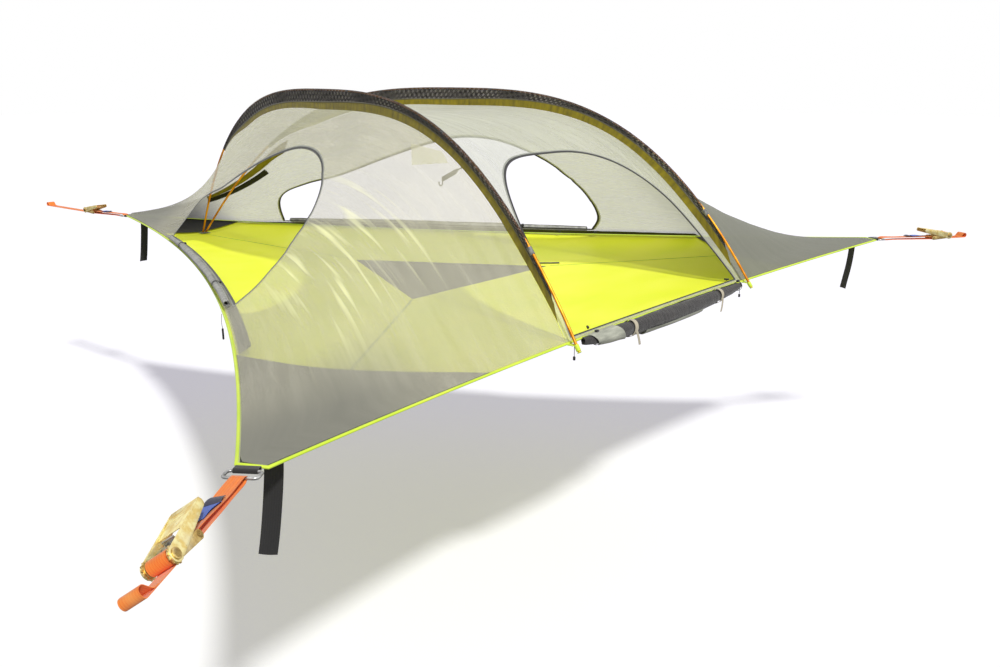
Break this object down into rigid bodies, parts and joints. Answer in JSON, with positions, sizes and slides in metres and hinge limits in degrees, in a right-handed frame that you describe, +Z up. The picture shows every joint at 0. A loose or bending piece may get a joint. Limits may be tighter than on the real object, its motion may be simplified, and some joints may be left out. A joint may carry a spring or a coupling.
{
  "type": "tree tent",
  "caption": "Three-cornered suspended tent with two arched poles, a see-through canopy, open doors, a floor hatch and ratchet straps at its corners.",
  "frame": {"origin": "where the rear strap's eye bears on what goes round the rear tree, at the middle of the eye's inner flat face", "axes": "+Y away from the tent along the rear strap, the door end towards -Y, +Z up, +X to the right seen from the door"},
  "size_m": [5.0964, 5.5035, 1.0789],
  "materials": {
    "canopy_cloth": "thin see-through mesh cloth",
    "floor_cloth": "neon green coated cloth",
    "neon_binding": "neon green woven tape",
    "black_cloth": "black coated cloth",
    "black_mesh": "fine black net",
    "olive_cloth": "olive coated cloth",
    "gold_pole": "anodised orange and gold tube",
    "grey_plastic": "moulded grey plastic",
    "grey_cloth": "rolled grey cloth",
    "black_webbing": "woven black webbing",
    "orange_webbing": "woven orange webbing",
    "steel": "polished steel",
    "gold_zinc": "yellow zinc-plated pressed steel",
    "black_plastic": "moulded black plastic"
  },
  "bodies": {
    "tent": {"corner_loop_left": "black_webbing", "corner_loop_rear": "black_webbing", "corner_loop_right": "black_webbing", "corner_panel_left": "black_cloth", "corner_panel_rear": "black_cloth", "corner_panel_right": "black_cloth", "corner_ring_left": "steel", "corner_ring_rear": "steel", "corner_ring_right": "steel", "door_roll_front": "black_cloth", "door_roll_left": "grey_cloth", "door_roll_right": "grey_cloth", "edge_binding": "neon_binding", "floor_panel": "floor_cloth", "gear_hook": "black_plastic", "gear_hook_strap": "black_webbing", "inner_strap_left": "orange_webbing", "inner_strap_rear": "orange_webbing", "inner_strap_right": "orange_webbing", "pole_left": "gold_pole", "pole_right": "gold_pole", "pole_seat_left": "neon_binding", "pole_seat_rear": "grey_plastic", "pole_seat_right": "neon_binding", "ratchet_frame_left": "gold_zinc", "ratchet_frame_rear": "gold_zinc", "ratchet_frame_right": "gold_zinc", "roof_panel": "canopy_cloth", "skirt_left": "black_cloth", "skirt_right": "black_cloth", "sleeve_band_left": "olive_cloth", "sleeve_band_right": "olive_cloth", "sleeve_clip_left": "grey_plastic", "sleeve_clip_right": "grey_plastic", "sleeve_mesh_left": "black_mesh", "sleeve_mesh_right": "black_mesh", "tail_strap_left": "black_webbing", "tail_strap_rear": "black_webbing", "tail_strap_right": "black_webbing", "tree_strap_left": "orange_webbing", "tree_strap_rear": "orange_webbing", "tree_strap_right": "orange_webbing", "wing_left": "canopy_cloth", "wing_right": "canopy_cloth", "zip_pull_left": "black_plastic", "zip_pull_right": "black_plastic"},
    "hatch": {"hatch_flap": "black_cloth"},
    "slider": {"hatch_slider": "black_plastic"},
    "drum_rear": {"ratchet_drum_rear": "gold_zinc", "strap_roll_rear": "orange_webbing"},
    "handle_rear": {"ratchet_handle_rear": "gold_zinc"},
    "pawl_rear": {"ratchet_pawl_rear": "steel"},
    "drum_left": {"ratchet_drum_left": "gold_zinc", "strap_roll_left": "orange_webbing"},
    "handle_left": {"ratchet_handle_left": "gold_zinc"},
    "pawl_left": {"ratchet_pawl_left": "steel"},
    "drum_right": {"ratchet_drum_right": "gold_zinc", "strap_roll_right": "orange_webbing"},
    "handle_right": {"ratchet_handle_right": "gold_zinc"},
    "pawl_right": {"ratchet_pawl_right": "steel"}
  },
  "joints": [
    {"name": "handle_rear_swing", "type": "hinge", "parent": "tent", "child": "handle_rear", "pos_m": [0, -0.5642, 0.0049], "axis": [-1, 0, 0], "range_deg": [-6, 136]},
    {"name": "drum_rear_spin", "type": "hinge", "parent": "tent", "child": "drum_rear", "pos_m": [0, -0.5642, 0.0049], "axis": [-1, 0, 0], "continuous": true},
    {"name": "pawl_rear_slide", "type": "slide", "parent": "handle_rear", "child": "pawl_rear", "axis": [0, -0.9781, 0.2079], "range_m": [0, 0.006], "stiffness_N_per_m": 400, "springref_m": -0.005},
    {"name": "handle_left_swing", "type": "hinge", "parent": "tent", "child": "handle_left", "pos_m": [-2.40915, -5.38495, 0.0049], "axis": [0.4517, -0.6834, 0.5736], "range_deg": [-6, 136]},
    {"name": "drum_left_spin", "type": "hinge", "parent": "tent", "child": "drum_left", "pos_m": [-2.40915, -5.38495, 0.0049], "axis": [0.4517, -0.6834, 0.5736], "continuous": true},
    {"name": "pawl_left_slide", "type": "slide", "parent": "handle_left", "child": "pawl_left", "axis": [0.7502, 0.6389, 0.1703], "range_m": [0, 0.006], "stiffness_N_per_m": 400, "springref_m": -0.005},
    {"name": "handle_right_swing", "type": "hinge", "parent": "tent", "child": "handle_right", "pos_m": [2.45086, -5.41252, 0.0049], "axis": [0.5514, 0.8342, 0], "range_deg": [-6, 136]},
    {"name": "drum_right_spin", "type": "hinge", "parent": "tent", "child": "drum_right", "pos_m": [2.45086, -5.41252, 0.0049], "axis": [0.5514, 0.8342, 0], "continuous": true},
    {"name": "pawl_right_slide", "type": "slide", "parent": "handle_right", "child": "pawl_right", "axis": [-0.816, 0.5394, 0.2079], "range_m": [0, 0.006], "stiffness_N_per_m": 400, "springref_m": -0.005},
    {"name": "hatch_lift", "type": "hinge", "parent": "tent", "child": "hatch", "pos_m": [0, -4.1087, -0.0341], "axis": [1, 0, 0], "range_deg": [0, 45]},
    {"name": "hatch_zip", "type": "slide", "parent": "hatch", "child": "slider", "axis": [-0.4753, 0.8798, 0], "range_m": [0, 0.75]}
  ]
}
